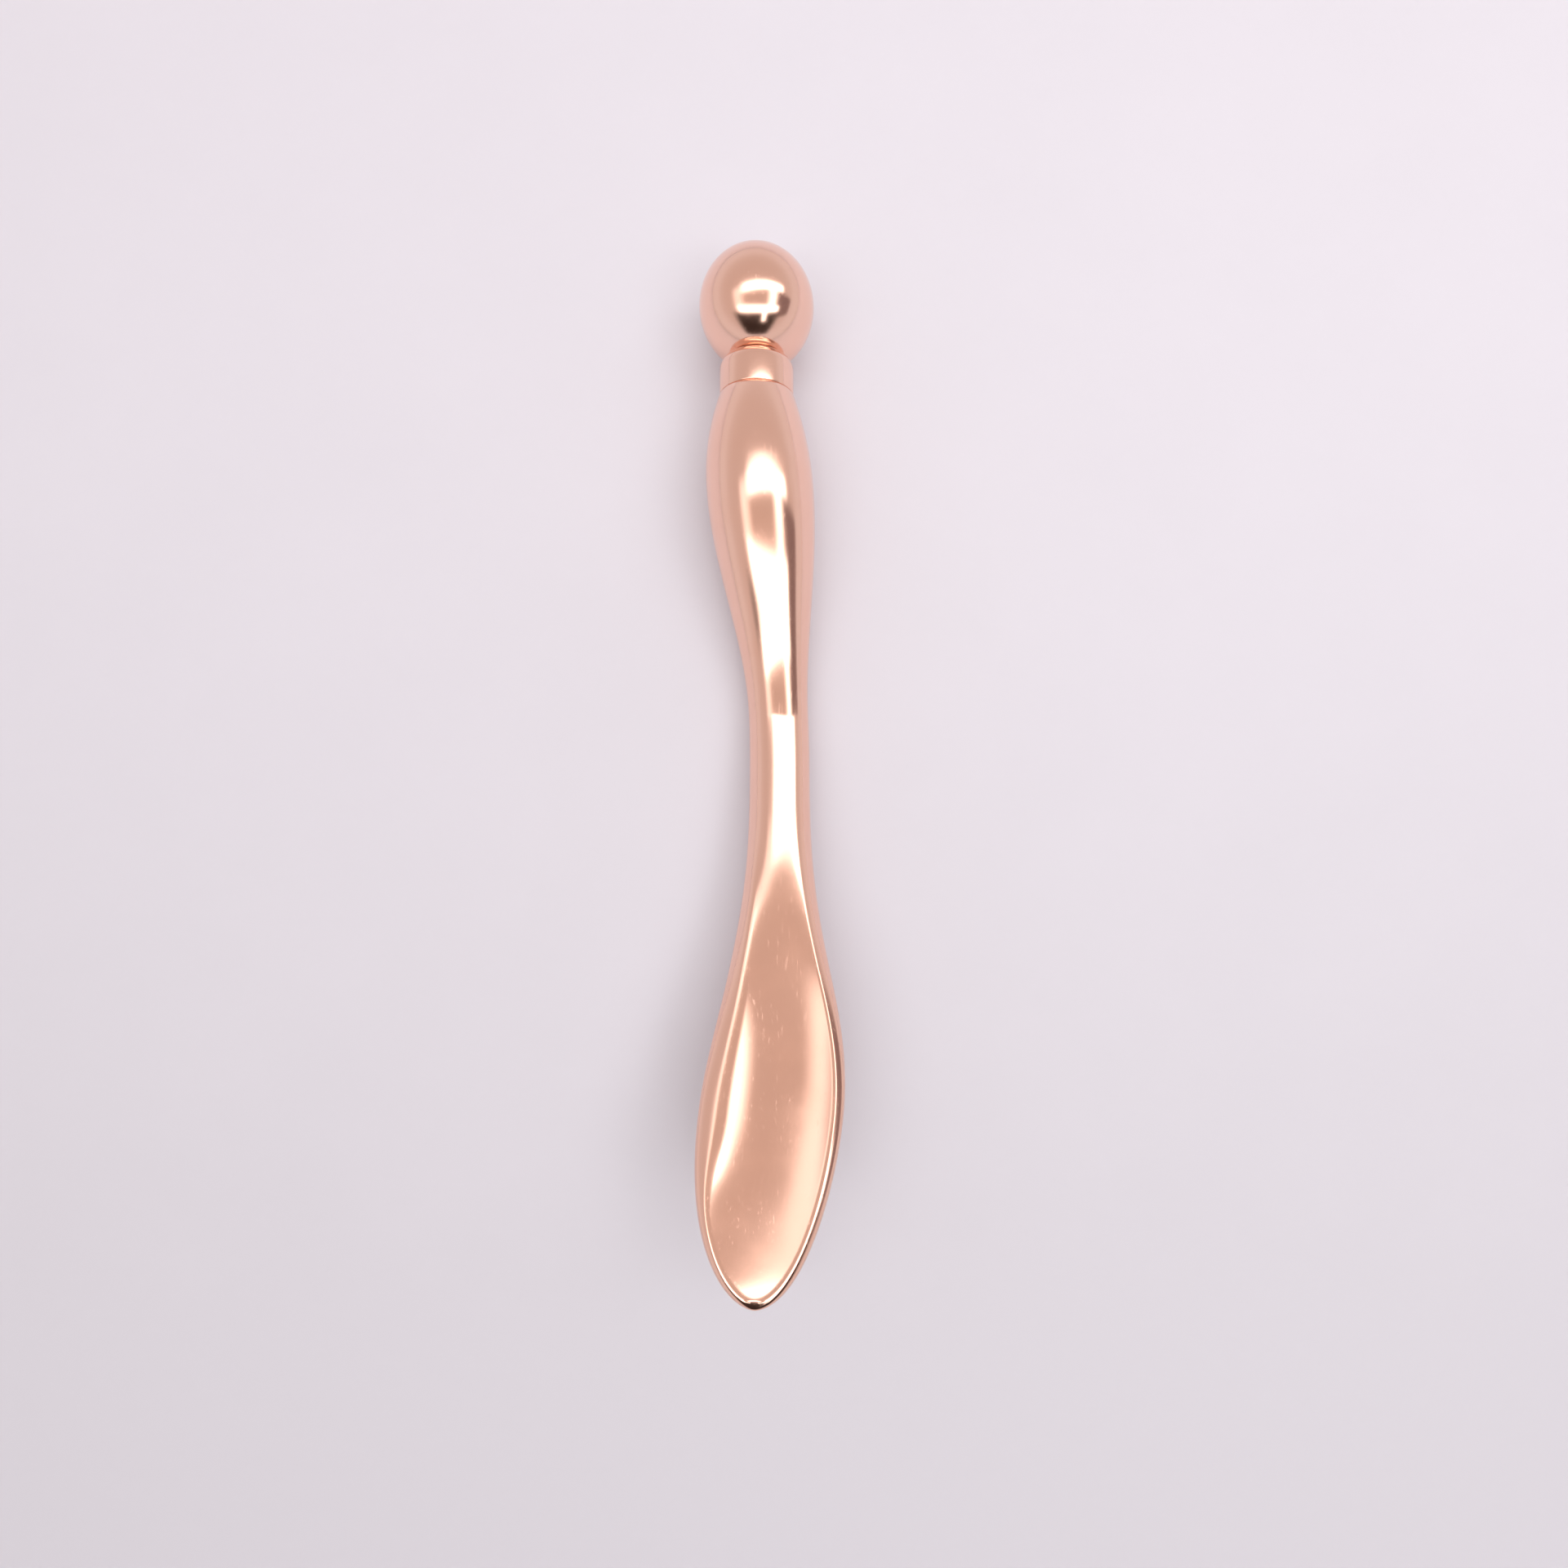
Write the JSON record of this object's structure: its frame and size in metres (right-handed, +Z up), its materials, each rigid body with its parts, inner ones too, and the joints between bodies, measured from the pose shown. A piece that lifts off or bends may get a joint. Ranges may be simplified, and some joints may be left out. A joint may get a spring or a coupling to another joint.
{
  "type": "double-ended cosmetic wand",
  "caption": "Slim polished metal wand with a shallow dished spoon at one end, a swelling grip and a rolling ball on a pin at the other.",
  "frame": {"origin": "middle of the outline, on the surface that the wand lies on", "axes": "+Y from the spoon's tip to the ball, +Z up, +X to the right when the spoon points at the viewer"},
  "size_m": [0.0124, 0.087, 0.014],
  "materials": {
    "plated_casting": "mirror-polished rose-gold plating on a zinc casting",
    "plated_collar": "polished rose-gold plating on turned steel",
    "plated_ball": "mirror-polished rose-gold plating on a steel ball",
    "pin_steel": "ground steel",
    "ring_steel": "dark spring steel"
  },
  "bodies": {
    "wand": {"handle": "plated_casting", "collar": "plated_collar"},
    "ball": {"massage_ball": "plated_ball", "ball_pin": "pin_steel", "retaining_ring": "ring_steel"}
  },
  "joints": [
    {"name": "ball_spin", "type": "hinge", "parent": "wand", "child": "ball", "pos_m": [-0.00121, 0.03845, 0.005], "axis": [0, 1, 0], "continuous": true}
  ]
}
